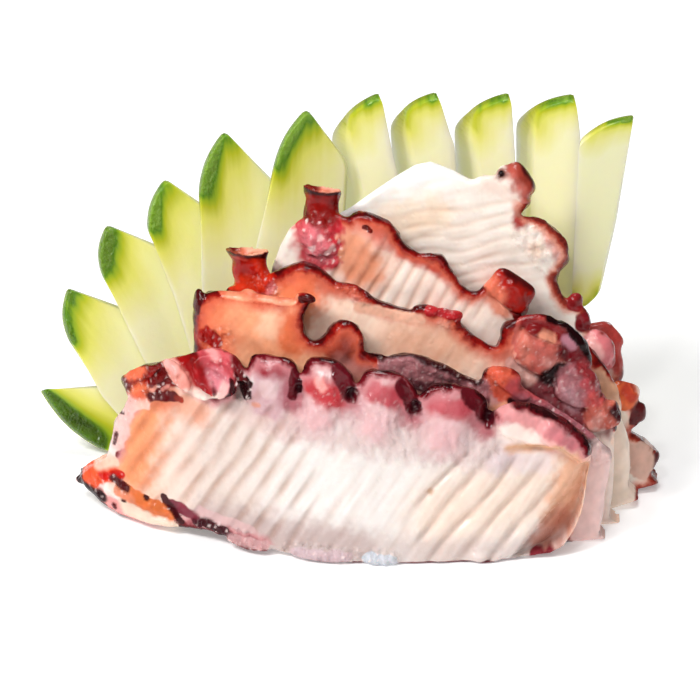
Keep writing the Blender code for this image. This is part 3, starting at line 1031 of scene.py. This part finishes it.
# The front slice: white rippled flesh, an orange left end and five cut suckers on top.
FIRST = OctopusSlice(
    0, FRONT, "#e8e0db", "#cab2a6",
    ripples=each(Ripple, (
        (59, 2.6, 0.40, (-20, 11), (17, 19), 0.85, 0.1), (57, 2.6, 0.08, (0, 9), (13, 12), 0.2, 0.1),
        (49, 3.4, 0.7, (21, 7), (14, 12.5), 0.4, 0.2),
    )),
    swells=[
        *each(Swell, (
            ((-12, 27.3), (-12, 25), 3.7, 1.1), ((-3.6, 27.2), (-4.6, 23), 3.6, 1.1),
            ((5, 26), (4.4, 21.5), 3.9, 1.1), ((15.2, 23.8), (14.6, 20), 4.4, 1.2),
            ((24.8, 22.2), (30, 20.6), 3.6, 1.5, 0.55), ((30, 20.6), (35.4, 16.6), 2.3, 1.2, 0.5),
            ((22.6, 17.2), (31, 18), 0.8, -0.4), ((31, 18), (34, 15.4), 0.7, -0.3),
            ((-16.3, 25.4), (-16.6, 24.4), 1.3, -1.7), ((-7.6, 26.4), (-7.6, 25.6), 1, -1),
            ((0.2, 26.6), (0.2, 25.9), 1, -1), ((9.6, 24.6), (9.7, 23.2), 1.1, -1),
            ((20.6, 24), (20.5, 22), 1.2, -1.1), ((-12, 26.9), (-12, 26.9), 1.6, 0.35),
            ((-24.4, 23.4), (-21.9, 23), 0.9, 0.5), ((-21.9, 23), (-19.4, 24.4), 0.9, 0.5),
            ((-21.8, 25.6), (-20.6, 26), 1.7, -0.8), ((-33, 20.9), (-27.2, 26), 0.5, -0.5),
            ((-31.6, 20.6), (-26.6, 25), 0.4, -0.4), ((-23.6, 27.8), (-22.4, 24.4), 0.5, -0.4),
            ((-36.5, 3.7), (-27, 3.4), 1.1, 0.5), ((-35, 1.7), (-27, 1.6), 1.2, 0.7),
        )),
        Facet((26, 3.6), (32.9, 13), 0.9, 3.6),
    ],
    grains=each(Zone, (
        ((-32, 21), (-27.5, 24.6), 2.2), ((-19, 27), (-19, 27), 2.6, 0.7),
        ((-35.6, 13), (-34, 19), 1.5, 0.8), ((-16, 24.6), (-16.6, 26.4), 1.8),
        ((-3, 25), (9, 22.5), 3, 0.45), ((-11, 21.6), (20, 17.4), 3.2, 0.35), ((-22, 2.5), (-14, 1.6), 1.5),
        ((-9, 1.5), (6, 1), 1.4, 0.8), ((-37.5, 4), (-35, 5.6), 1.8, 0.7),
    )),
    lumps=each(Lump, (
        ((-15.2, 1.5, 0), (3.4, 0.9, 1), -4), ((-4.4, 1.2, 0), (5, 1, 1), -2), ((4.8, 0.9, 0.2), (3, 1, 1)),
        ((20.5, 0.9, 0.4), (2.6, 0.9, 1)), ((-31.4, 23.2, 0.4), (3.8, 0.8, 1.2), 48),
        ((-29.4, 22.9, 0.1), (3.4, 0.7, 1), 44), ((-27.4, 24.6, 0.8), (3.2, 2, 1.2), 38),
        ((-25.9, 25.5, -0.9), (2.7, 1.35, 1.1), -47), ((-39.6, 3.6, 2), (2.2, 0.7, 1.3), 28),
        ((-8.7, 27.6, 1.6), (0.8, 2.4, 1.4), 5), ((-1, 27.8, 1.6), (1.7, 2.3, 1.5), 30),
        ((8.4, 25.8, 1.6), (1.4, 2.7, 1.5), 30), ((18.9, 24.2, 1.6), (1.3, 2.8, 1.5), 28),
    )),
    stains=each(Stain, (
        # The first row here greys the left half of the face: painted shade.
        ((-20, 16), (-24, 6), 8, "#d8c4b9", 1.6, 0.8), ((15, 8), (30, 12), 6, "#efd3bf", 1.4, 0.7),
        # Greyish bands along the bottom of the face: painted shade.
        ((-22, 3.4), (26, 1.2), 2.4, "#c2aea9", 1.6, 0.6), ((-20, 4), (0, 2.6), 3.4, "#b8a29e", 1.4, 0.75),
        ((-30, 17), (-31, 7.5), 5.8, "#f0d3c4", 1.3, 0.9), ((-31, 18), (-33, 8), 3.4, "#e88c56", 1.5, 0.9),
        ((-27, 21), (-23, 20.4), 2.2, "#df8f6b", 1.4, 0.7),
        ((-29, 20.2), (-27, 21.4), 1.3, "#c9603c", 1.4, 0.7),
        ((-17, 22.6), (-9, 21), 2.6, "#d5b9b2", 1, 0.8), ((-9, 22.2), (22, 17.8), 3.4, "#cdb0ae", 1, 0.65),
        ((-12, 26.6), (-12.4, 24.4), 3.2, "#c8a2a6", 0.6),
        ((-12.2, 26.4), (-12.2, 26.4), 1.5, "#d6b9b9", 0.5, 0.8),
        ((-13.6, 29.4), (-9.8, 29.6), 1.3, "#8e2632", 1.2),
        ((-3.6, 26), (-5, 22.8), 2.9, "#d9a0a4", 1.4, 0.7),
        ((-8.2, 28), (-8.6, 24.6), 1.8, "#a04452", 1.2, 0.85),
        ((-1.2, 28.6), (0, 25.4), 2.3, "#a03a48", 1.2, 0.85),
        ((-5.2, 27.4), (-2.6, 26), 1.9, "#b92c34", 0.9, 0.95),
        ((-4.8, 28.2), (-4.2, 27.6), 0.8, "#f0a8a0", 0.9, 0.8),
        ((4.4, 25), (3.8, 22.4), 3, "#dba6aa", 1.4, 0.7),
        ((7.6, 27), (9.4, 23.4), 2.2, "#a03a48", 1.2, 0.85),
        ((3.4, 27.2), (7, 26.2), 1.6, "#b4404a", 1, 0.9), ((14.4, 23), (14, 20.6), 3.4, "#dba4a8", 1.4, 0.7),
        ((17.8, 25.6), (20.4, 21.4), 2.2, "#a03a48", 1.2, 0.85),
        ((12.6, 25.2), (17.4, 24.6), 1.7, "#b84650", 1.1, 0.9),
        ((24, 24.4), (37, 18), 2.3, "#dc8488", 1.5, 0.9), ((27, 21), (34.4, 17), 2.1, "#ecaca6", 1.2, 0.9),
        ((24, 20.6), (27, 19.4), 1.9, "#f3dfd5", 1.2, 0.95),
        # This line and the next: tan in the crease under the lobe, painted shade.
        ((24, 17.6), (30.8, 18.1), 0.8, "#d9a47c", 1.2, 0.9),
        ((30.8, 18.1), (33.8, 15.8), 0.7, "#dcae8c", 1.2, 0.8),
        # The second row here and the next line colour the slanting right end peach, turning brown towards
        # its foot: the brown is painted shade.
        ((22, 15.6), (29, 15.4), 1.6, "#d9c9cf", 1.2, 0.5), ((34, 14), (31.6, 6), 2.8, "#e2aa8a", 1, 0.9),
        ((31.4, 4.6), (29.4, 2), 2.4, "#bd7a66", 1.3, 0.85),
        ((12, 11.4), (12, 11.4), 0.5, "#c08a5c", 1, 0.6),
        ((-14.4, 23.2), (-13.8, 23.3), 0.4, "#d08a70", 0.8, 0.8),
    )),
    patches=each(Stain, (
        ((23, 24), (30.4, 21), 1.1, "#de9696", 1.7, 0.85),
        ((30.4, 21), (33.4, 18.2), 1, "#d07a80", 1.7, 0.85),
        ((-8.2, 29), (-8.6, 25.4), 0.75, "#5a101a", 1.1), ((-1.6, 29.6), (0.2, 26.2), 1.2, "#5e101a", 1.2),
        ((7.6, 27.8), (9.8, 23.9), 1.05, "#581019", 1.2), ((17.6, 26.4), (20.8, 21.9), 1.05, "#581019", 1.2),
        ((-15.8, 26.2), (-15.6, 24.8), 1.1, "#2c070c", 0.8), ((-7.7, 27.6), (-7.7, 26.2), 0.6, "#340910"),
        ((0.2, 27), (0.1, 26.2), 0.7, "#320810"), ((9.9, 25), (9.8, 24), 0.7, "#320810"),
        ((20.8, 23.4), (20.6, 22.4), 0.8, "#320810"), ((-33, 21.6), (-24.4, 27.4), 2.5, "#7c0f0b", 0.5),
        ((-34.6, 21.6), (-34, 20.8), 0.8, "#5a1216", 0.8), ((-33.4, 22.8), (-31.4, 24.8), 0.8, "#ec6c48"),
        ((-32.4, 21), (-30.6, 22.8), 0.6, "#e8603c"), ((-31, 21.8), (-28.2, 25.2), 0.75, "#c5170d", 0.8),
        ((-31.4, 25.4), (-23.4, 29.2), 0.6, "#43080a", 0.8),
        ((-29.2, 22.6), (-27.8, 25.4), 1.2, "#640a0a", 0.8),
        ((-32.4, 19.6), (-31, 21.2), 1.2, "#e8875e", 1.1, 0.9),
        ((-32.4, 19.6), (-30.8, 21), 0.9, "#e0603e", 1.2, 0.9),
        # This line and the next two: pale pink specks on the left flap, painted glints.
        ((-32.8, 18.6), (-30.8, 19.2), 0.8, "#f0bcae", 1.1, 0.9),
        ((-28.2, 22.4), (-27.4, 22.9), 0.3, "#dd8f83", 0.9, 0.9),
        ((-30, 21.6), (-29.2, 22.6), 0.25, "#e79a88", 0.9, 0.9),
        ((-29.9, 20.7), (-26.5, 21.7), 0.75, "#560c0f", 0.8),
        ((-25.9, 21.6), (-25.4, 21.4), 0.5, "#8c2a1c", 0.9, 0.9),
        ((-26.4, 28), (-22.4, 27), 1.3, "#8e0f0f", 0.8), ((-27.2, 27), (-24.3, 23.9), 1.35, "#e09285", 0.4),
        ((-27.4, 27.2), (-26.4, 26.6), 0.8, "#efaaa2", 0.9, 0.9),
        ((-22.8, 26.2), (-22, 24.6), 1.3, "#9c1a1e", 0.7), ((-20.6, 29.8), (-18.8, 28.6), 2, "#c04850", 0.8),
        ((-20.2, 26.8), (-19.4, 26.2), 1.2, "#d8808a", 1, 0.9),
        ((-21.2, 30.4), (-20.2, 29.6), 0.8, "#ea9a98", 1.1, 0.9),
        ((-24.4, 23.4), (-22, 23.1), 0.7, "#ecccc0", 1.1, 0.9),
        ((-22, 23.1), (-19.6, 24.2), 0.75, "#efd5ca", 1.1, 0.95),
        ((-19.6, 24.2), (-18.8, 25.8), 0.5, "#e3b4ae", 1.2, 0.9),
        ((-17, 29.6), (-16.6, 26.6), 0.8, "#6c1016"), ((-36.4, 9.6), (-34.6, 17.4), 1, "#f3d9d2", 0.6),
        ((-35, 12), (-33.4, 18.6), 1.2, "#ecb9b2", 1, 0.8),
        ((-35.2, 13.2), (-35.6, 11.6), 0.3, "#5a1a1c", 0.7),
        ((-34.9, 16.7), (-34.2, 16.8), 0.3, "#4a1014", 0.7), ((-39, 5), (-36.4, 7), 1.6, "#ec5a36"),
        # The first row here is a pale spot on the upper edge of the tip: a painted highlight.
        ((-38, 7.2), (-35.6, 8.8), 0.8, "#f6c0aa", 1, 0.95), ((-37.2, 5.8), (-34.6, 7), 0.7, "#c0170e", 0.8),
        ((-33.6, 4.4), (-27.6, 3.2), 1.3, "#cf6c3c", 0.6),
        ((-34.8, 4.2), (-33.4, 3.8), 0.9, "#d98566", 0.9, 0.9),
        ((-34, 2.2), (-26.8, 1.3), 1, "#e4cbb8", 0.5), ((-37.4, 2.8), (-35, 1.6), 0.9, "#e59a96", 0.9, 0.95),
        ((-36, 1), (-28, 0.3), 0.45, "#d9837e", 0.9, 0.9), ((-35.6, 6), (-33.8, 5.2), 0.65, "#4a0609", 0.6),
        ((-41.2, 3.8), (-40.8, 3.3), 0.6, "#2c0608", 0.7), ((-39.8, 2.9), (-37.4, 2.5), 0.9, "#240509", 0.7),
        ((-26.6, 5), (-23.4, 3.8), 0.8, "#7b3340", 1, 0.95), ((-28, 5.6), (-25.5, 2.6), 0.6, "#3c0a10", 0.8),
        ((-30.6, 4.8), (-30.6, 4.8), 0.45, "#3a0c10", 0.6), ((-34.2, 3.1), (-34, 3.2), 0.3, "#3a0c10", 0.6),
        ((-35.6, 1.8), (-35.5, 2), 0.35, "#5a1216", 0.7), ((-23.2, 3.1), (-22.6, 2.9), 0.5, "#43101c"),
        ((-22.6, 5), (-15, 3.7), 0.8, "#cdaaa8", 1.1, 0.8),
        ((-21.8, 3.4), (-18.8, 2.6), 0.75, "#3c0c14", 0.8), ((-18.8, 2.5), (-15.8, 1.5), 0.5, "#43101c"),
        # Greyed pink on the bottom ledge: its own pink with painted shade.
        ((-17.6, 1.9), (-12.8, 1.7), 0.7, "#c99a9a", 0.9, 0.8),
        ((-18.2, 0.8), (-11.8, 0.7), 0.35, "#6a1e28", 0.9, 0.9),
        ((-14, 0.1), (32, 0), 0.4, "#6a2f38", 1, 0.85),
        # Greyish mauve along the bottom: painted shade.
        ((-8.4, 1.3), (-0.4, 1.3), 0.8, "#c5acb0", 0.9, 0.85),
        # The second row here is bluish grey on a bottom lump: painted shade.
        ((27.4, 0.5), (32.8, 0.7), 0.6, "#7c2630", 1.1, 0.9), ((2.8, 1), (6.4, 0.7), 0.9, "#c3c6cd", 0.6),
    )),
    bare=each(Zone, (
        ((36, 13), (33, 2), 3, 1, 0.3), ((-12, 0.2), (31, 0), 1.6, 1, 0.3),
    )),
)

# The second slice: an orange left block with a deep notch, then mauve flesh.
SECOND = OctopusSlice(
    1, WARM, "#f4b08a", "#d98960",
    swells=each(Swell, (
        ((-2.2, 33), (-1.8, 31), 3, 0.7), ((22.4, 27), (26, 24.2), 1.8, 0.7, 0.6),
        ((-17, 34), (-12, 31), 4.5, 0.5), ((11, 28.6), (17, 27), 1.8, 0.6),
        ((3.6, 30.4), (4.4, 29.8), 1.2, -1.2),
    )),
    grains=each(Zone, (
        ((-21, 29.5), (-19, 30.5), 1.6, 0.8), ((6, 28), (20, 25.5), 2.5, 0.55), ((28, 21), (38, 14), 2, 0.8),
    )),
    lumps=each(Lump, (
        ((-6.6, 38.2, 0.8), (1.6, 0.8, 1.4), -8), ((-22.6, 34.6, 1), (1, 2.4, 1.6)),
        ((-15, 37.5, 1.2), (1.3, 0.9, 1.4), -12), ((-10.6, 36.9, 1), (1.5, 0.9, 1.4), 14),
    )),
    stains=each(Stain, (
        ((-21.6, 34.5), (-20.6, 30.5), 3.2, "#e0613c", 1.2, 0.85),
        ((-17, 33), (-13, 31), 3.6, "#e68d62", 1.5, 0.6), ((-9.4, 34), (-8.6, 31), 2, "#e0673a", 1, 0.85),
        # The first row here is a pale patch on the orange block: a painted highlight.
        ((-11.6, 36.2), (-12.2, 33), 1.8, "#f3cdb0", 1, 0.45), ((-2, 33.8), (-0.6, 32.6), 3, "#9c3a2c"),
        ((-2, 31), (2, 30.6), 2.6, "#8e3529", 1, 0.95), ((-1, 28), (4, 27.4), 2, "#b8746c", 1, 0.9),
        ((6, 28.4), (20, 25.4), 3.6, "#c08b8b", 0.8, 0.9),
    )),
    patches=each(Stain, (
        ((5.8, 28.4), (10.5, 28.6), 1.7, "#a2666a", 1, 0.95),
        ((10.5, 28.6), (19.6, 24.4), 1.8, "#a2666a", 1, 0.95), ((5.4, 30), (9.6, 30.5), 0.55, "#34080e"),
        # The second row here is a dark strip low on the mauve band, just behind the first slice's suckers:
        # painted shade.
        ((9.6, 30.5), (19.4, 25.8), 0.7, "#34080e"), ((7, 26.4), (20, 22.6), 0.9, "#54262c", 1.2, 0.9),
        ((22.4, 27), (23.4, 24.8), 2, "#d25a42", 0.7), ((24.6, 25), (28.4, 23.2), 1.5, "#b4484a", 0.8),
        ((25.4, 23), (30.6, 20), 1.3, "#a0525a"), ((30.6, 21.4), (36, 16.6), 1, "#a86068"),
        ((24, 22.8), (38.6, 13.4), 0.5, "#2a070c"), ((35, 15.6), (38.8, 13.4), 1.1, "#34080d"),
        ((36.8, 12), (36.4, 2), 3.4, "#eecbc6", 0.8), ((-5.6, 38.4), (-7, 38), 0.7, "#4a0c0c", 0.6),
        ((-22.8, 36.4), (-23.4, 33.4), 0.8, "#4a0c0e", 0.8), ((-21.4, 30), (-20.4, 29.6), 1.3, "#9a120c"),
        ((3.4, 30.6), (4.6, 29.8), 0.8, "#3a0909", 0.7),
    )),
    bare=each(Zone, (
        ((38.6, 9), (37, 1), 2.6, 1, 0.3), ((-18.6, 37.8), (-9, 38.2), 1.4, 0.42, 0.3),
    )),
)

# The third slice: a whole sucker at its left, an arch, and a heap of suckers at its right.
THIRD = OctopusSlice(
    2, WARM, "#ffd9c2", "#e3a080",
    swells=each(Swell, (
        ((-7, 40), (-6.4, 35), 4, 0.8), ((23.6, 32), (23, 29), 3, 0.5),
        ((-13, 37.6), (-12.4, 36.6), 1.6, 0.9), ((25.8, 31.4), (31.6, 28.7), 0.5, -0.6),
    )),
    grains=each(Zone, (
        ((-13.6, 37.6), (-12.2, 36.4), 1.7), ((-0.4, 38.2), (2, 37), 1.6, 0.9),
        ((14, 33.8), (17.6, 32), 1.6, 0.9), ((28, 27), (38, 18), 4, 0.5),
    )),
    lumps=each(Lump, (
        ((28.2, 28.2, -0.1), (3.4, 3.2, 1.7), -32, 0.55), ((34, 22.3, 0.2), (2.9, 2.9, 1.7), -30, 0.5),
        ((36.6, 19.9, -0.2), (1.7, 1.5, 1.3), -40, 0.5), ((38, 17.4, 0), (2.7, 2.1, 1.6), 12, 0.55),
        ((33, 29.4, 1), (3.4, 1.6, 1.4), -45, 0.7), ((12, 34.6, 0.6), (1.4, 0.8, 1.2)),
        ((15.6, 33.8, 0.6), (1.5, 0.9, 1.2)),
    )),
    stains=each(Stain, (
        ((-7.4, 40), (-7.6, 37), 3.8, "#f4703f", 1.1, 0.9),
        ((-12, 36.4), (-8, 34), 2.6, "#ee9a6c", 1.2, 0.7),
        ((-0.4, 38.2), (2.4, 36.8), 1.5, "#dd8a80", 0.9, 0.85),
        ((10, 34), (20, 30.6), 1.6, "#dc9a84", 1, 0.7), ((8, 30), (16, 28.6), 3, "#e6a07c", 1.6, 0.65),
        ((-3.6, 38.2), (-0.8, 37.4), 1.3, "#c8502f", 1.3, 0.7),
        ((22, 31.6), (24, 28), 2.6, "#d4735f", 1, 0.8),
    )),
    patches=each(Stain, (
        # A dark maroon band under the heap of suckers: painted shade.
        ((25, 24.6), (37.4, 14.6), 1.9, "#7e343a", 0.8, 0.95),
        # The second row here is black under the big sucker's disc: a painted shadow.
        ((24.2, 26.2), (27, 23.8), 1.1, "#dcaa9e", 1.2, 0.9), ((29.4, 24), (32, 22.4), 1.2, "#24060a", 0.8),
        # The first row here is dark red above the disc, in the hollow behind it: red skin with painted
        # shade.
        ((26.6, 32.8), (29, 31.6), 1.3, "#8a1a1c", 0.7), ((27.2, 29.8), (29.2, 27.6), 3.1, "#bd5f55", 0.4),
        ((26, 30.8), (26.4, 27.4), 1, "#d07462", 1.1, 0.8),
        # The second row here is dark red above the disc as well: red skin with painted shade.
        ((29.4, 27), (30.8, 26), 0.6, "#d99086", 1.1, 0.8), ((26.6, 32.2), (31.6, 30.6), 1, "#7a181a", 0.7),
        # The second row here is black under the disc too: a painted shadow.
        ((28.8, 30.8), (30.4, 30), 0.6, "#dc8f74", 0.9, 0.95), ((29.6, 24.6), (31.8, 25), 1, "#24060a", 0.8),
        ((32.4, 27.8), (34.4, 26), 1.3, "#6c1018", 0.8),
        # A mauve-pink spot on the heap: a painted highlight.
        ((32.4, 29.6), (33.4, 28.3), 0.7, "#bb7c8a", 0.9, 0.9),
        ((30, 32.8), (33, 31.6), 0.7, "#1c0507", 0.8), ((33, 31.6), (36.6, 26.2), 0.8, "#1c0507", 0.8),
        ((33.6, 22.8), (34.6, 21.6), 2.7, "#a5656a", 0.4), ((35, 25.2), (37.2, 22.8), 0.9, "#8c2c30"),
        ((33, 21.4), (33.6, 19.4), 1.2, "#bb8a90", 1, 0.85),
        ((35.2, 23.2), (36.4, 21.6), 0.7, "#b5484e", 0.9, 0.9),
        ((36.6, 20.4), (36.8, 20), 1.4, "#b84a48", 0.6), ((37.4, 17.4), (38.6, 17.4), 2.1, "#b2594c", 0.5),
        ((36.4, 16.4), (37.6, 17.8), 0.8, "#c9877c", 1, 0.8), ((39.8, 18.6), (40.6, 17.6), 0.8, "#3a0a10"),
        ((36.8, 12), (38, 3), 3.2, "#efd9cd", 0.8, 0.9),
        ((-12.9, 37.2), (-13.6, 37.8), 1.5, "#d98484", 0.9, 0.8),
        ((-17.8, 38.8), (-14, 38.8), 2.6, "#9a1109", 0.4),
        ((-18, 36.8), (-13.8, 37), 1.2, "#cc3419", 0.9, 0.9),
        ((-14, 41.4), (-12.6, 38.6), 0.9, "#c92a12", 1, 0.9),
        ((-18.2, 41.2), (-15.8, 41), 0.4, "#b5443a", 1, 0.9), ((-19.4, 42), (-12, 42.2), 1, "#38070a", 0.5),
        ((-18.6, 42.4), (-12.6, 42.6), 2.1, "#c8694c", 0.5, 1, True),
        # Dark red at the left of the cup's inside: painted shade in its hollow.
        ((-18.4, 42.4), (-17.2, 42.4), 1, "#6a1512", 0.9, 1, True),
        ((-15.2, 42.6), (-13, 43), 0.9, "#f0b294", 1, 0.9, True),
        ((1.4, 35.2), (10.4, 33.3), 0.9, "#e8b096", 1.2, 0.85), ((12, 34.8), (16, 33.8), 0.9, "#b3252a"),
    )),
    bare=each(Zone, (((40, 12), (39, 1), 2.6, 1, 0.3),)),
)

# The fourth slice: a whole sucker on a pimpled root, a red arch and white ridges.
FOURTH = OctopusSlice(
    3, WARM, "#fde6d8", "#e7bba2",
    ripples=each(Ripple, ((60, 2, 0.24, (9, 37), (15, 9), 0.65),)),
    swells=each(Swell, (
        ((4, 46.4), (3.6, 43), 3.4, 0.8), ((24.2, 35), (24.8, 32.6), 2.6, 0.9, 0.6),
        ((2.6, 45.3), (2.6, 45.3), 0.6, -0.6),
    )),
    grains=each(Zone, (((-5.2, 44.2), (-3.8, 41.4), 2.9),)),
    lumps=each(Lump, (
        ((-4.7, 43.3, 0.3), (3.5, 3.2, 1.6), 10), ((24.2, 35.2, 0.8), (3.7, 2.4, 1.9), -36, 0.5),
    )),
    stains=each(Stain, (
        ((0, 42), (2, 39), 3.6, "#e68a5e", 1.2, 0.85), ((3.4, 46.8), (6, 44.4), 2.4, "#d24a30", 1, 0.85),
        ((8.4, 42), (15, 38.6), 1.5, "#b8433e", 1), ((21.6, 33.8), (23, 32.4), 1.3, "#e2734c", 1.2, 0.8),
    )),
    patches=each(Stain, (
        ((-9.8, 41.6), (-9, 38), 2.4, "#f9ebdf", 0.9, 0.9), ((2.2, 45.3), (3, 45), 0.4, "#6a1610", 0.9, 0.9),
        ((23, 37.4), (26.6, 33.4), 2.5, "#9e1a12", 0.7),
        # The first row here is a light orange spot on the red block: a painted highlight.
        ((20.6, 36.8), (22.4, 35), 1.2, "#e2785c", 1.3, 0.85), ((21.6, 40.3), (28.8, 35), 0.9, "#480a0b"),
        ((25.4, 31.4), (26, 30.4), 0.9, "#6c0a0a", 0.8),
        ((37, 20.4), (39.4, 17.6), 1.8, "#d7a283", 0.9, 0.9),
        ((39.8, 14), (40.6, 3), 3, "#f0dccb", 0.8, 0.9), ((-4.8, 44.6), (-4.6, 41.6), 3.5, "#c4303a", 0.8),
        ((-5.6, 43.6), (-4.4, 41), 1.9, "#e07c84", 1.1, 0.8),
        ((-6.6, 48.6), (-6.4, 46.6), 0.9, "#5c0c0c", 1),
        # This line, the next and the first row of the one after: pale specks on the root, painted glints.
        ((-4.4, 43.6), (-4.4, 43.6), 0.5, "#f6c8c4", 1, 0.9),
        ((-5.8, 41.8), (-5.8, 41.8), 0.5, "#f8d4d0", 1, 0.9),
        ((-2.6, 42.4), (-3.6, 41), 0.35, "#f6c8c4", 1, 0.9), ((-4.2, 48), (-4.2, 49), 3.1, "#84100c", 0.5),
        ((-7, 50.7), (-1.4, 50.7), 0.9, "#33070a", 0.5),
        ((-6.6, 51), (-1.8, 51), 2, "#c96a50", 0.5, 1, True),
        # Dark red at the left of the cup's inside: painted shade in its hollow.
        ((-6.8, 51.2), (-5.6, 51), 1.1, "#7a1c16", 0.9, 1, True),
        ((-3.6, 51.4), (-2, 51.4), 0.8, "#f4b8a0", 1, 0.9, True),
    )),
    bare=each(Zone, (
        ((-10.6, 41), (-8.6, 44.6), 2, 1, 0.3), ((42, 13), (40, 1), 2.6, 1, 0.3),
    )),
)

# The fifth slice: a white face with level ridges and small rosy suckers down its right side.
FIFTH = OctopusSlice(
    4, BACK, "#f6e8dc", "#e6c8b0",
    ripples=each(Ripple, ((8, 2, 0.11, (18, 40), (13, 9), 0.4, 0.5),)),
    swells=each(Swell, (
        ((25, 50), (27, 47), 2.8, 0.7), ((29, 42), (30, 39), 3, 0.4),
        ((22.8, 50.8), (22.8, 50.8), 0.7, -0.5),
    )),
    grains=each(Zone, (((26.6, 41.4), (30.6, 37), 2.4, 0.6),)),
    lumps=each(Lump, (
        ((25.2, 49.6, 2.1), (2.2, 3, 2.1), 33, 0.6), ((23.6, 50, 2.1), (1.9, 2.2, 2), -20, 0.7),
        ((37.4, 22.6, 0.6), (2.5, 2.7, 2), -20, 0.8), ((34, 30.8, 1), (1.2, 1.3, 1.4)),
        ((35.2, 27.4, 1), (1.3, 1.1, 1.4)), ((41.2, 15.6, 0.8), (2.5, 2.2, 2), -20, 0.6),
        ((43.6, 12.8, 1), (1.2, 1.6, 1.6), 0, 0.7), ((44.2, 5.2, 1.4), (2.6, 1.9, 1.6), -35, 0.6),
    )),
    fibres=8,
    stains=each(Stain, (
        ((-4, 44), (14, 52.6), 4.2, "#fdf8f2", 1.3, 0.95), ((6, 44), (12, 45), 3, "#f6d6b4", 1.5, 0.6),
        ((24, 49.6), (25.6, 46.4), 1.2, "#e2a08c", 1.2, 0.8), ((26.6, 45), (25.6, 43.6), 1.3, "#a83a34"),
        ((30.6, 42), (32.6, 37.6), 1.7, "#d58276", 1, 0.8), ((28, 39), (28, 39), 1.3, "#e6bfa4", 1.2, 0.5),
    )),
    patches=each(Stain, (
        ((21.4, 49.8), (24.4, 48.4), 2, "#f3ddd0", 1, 0.95),
        ((25.2, 51.2), (27.2, 47.8), 1.7, "#b25246", 0.9, 0.95),
        ((26, 51.6), (28.2, 47.4), 1, "#a23c2e", 1, 0.9), ((25.6, 53), (29.2, 47.2), 0.55, "#4a1012"),
        ((22.8, 50.8), (22.8, 50.8), 1, "#8a5a50", 0.8, 0.9),
        ((22.8, 50.8), (22.8, 50.8), 0.55, "#1c0a0a", 0.5), ((34, 31), (34, 30.4), 1.3, "#8a1f22", 0.8),
        ((35.2, 27.6), (35.2, 27.2), 1.3, "#7a1a20", 0.8), ((37.2, 23.2), (37.6, 21.4), 2.7, "#d27478", 0.6),
        ((36.4, 24.4), (37.4, 22.6), 1, "#eab0aa", 1, 0.8), ((40.4, 22.6), (40.6, 19.8), 0.8, "#8c2628"),
        ((40, 16.2), (41.6, 15.4), 1.9, "#dd6a3c", 0.7),
        ((41.6, 16.8), (42.6, 15.6), 0.8, "#c04030", 0.9, 0.9),
        ((43.8, 13.6), (43.4, 11.8), 1.2, "#5a1a1c", 0.8), ((43.2, 6.4), (44.4, 4.2), 2, "#d8b0a0", 0.6),
        ((46.4, 5.6), (46.4, 3.8), 0.5, "#5a2a2c"),
    )),
    bare=each(Zone, (
        ((-12, 38), (12, 54), 5.5, 1, 0.3), ((12, 54), (22.4, 53), 3.6, 1, 0.3),
    )),
    taper=2.3,
)

# The back slice, mostly hidden.
SIXTH = OctopusSlice(
    5, BACK, "#f9ece2", "#e6c9b5",
    ripples=each(Ripple, ((10, 2, 0.3, (18, 20), (16, 16)),)),
    patches=each(Stain, (((38, 24), (40.6, 20), 2.6, "#b5443e"),)),
)

OCTOPUS = (FIRST, SECOND, THIRD, FOURTH, FIFTH, SIXTH)

CUCUMBERS = (                       # from left to right
    CucumberSlice(1, 12.5, 8.0, dark=1.0, band=1.4),
    CucumberSlice(2, 7.7, 10.0, dark=0.6),
    CucumberSlice(3, 7.4, 11.0, dark=0.5),
    CucumberSlice(4, 7.9, 12.0, dark=0.2),
    CucumberSlice(5, 9.5, 13.0, dark=0.3),
    CucumberSlice(6, 9.9, 12.0, dark=0.2),
    CucumberSlice(7, 8.0, 8.5, band=0.1, pale=1.9),
    CucumberSlice(8, 8.0, 8.0, band=0.1, pale=1.9),
    CucumberSlice(9, 8.4, 7.5, band=0.1, pale=1.9),
    CucumberSlice(10, 8.6, 7.0, band=0.1, pale=1.9),
    CucumberSlice(11, 7.0, 5.5, dark=0.3, band=0.12, pale=1.4, foot=1.5),
)


def main() -> None:
    """Loads the solids, builds the pieces over them and the set around them."""
    logging.basicConfig(level=logging.INFO, format="%(message)s")
    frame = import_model()
    cad_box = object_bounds()
    nodes = frame["nodes"]
    pile = Pile()
    for slice_ in OCTOPUS:
        piece = slice_.build(nodes[slice_.node], pile)
        LOG.info("%s: %d faces", piece.name, len(piece.data.polygons))
    finish = Cucumber().material()
    for slice_ in CUCUMBERS:
        piece = slice_.build(nodes[slice_.node], finish)
        LOG.info("%s: %d faces", piece.name, len(piece.data.polygons))
    Studio().build(cad_box[0].y)


if __name__ == "__main__":
    main()
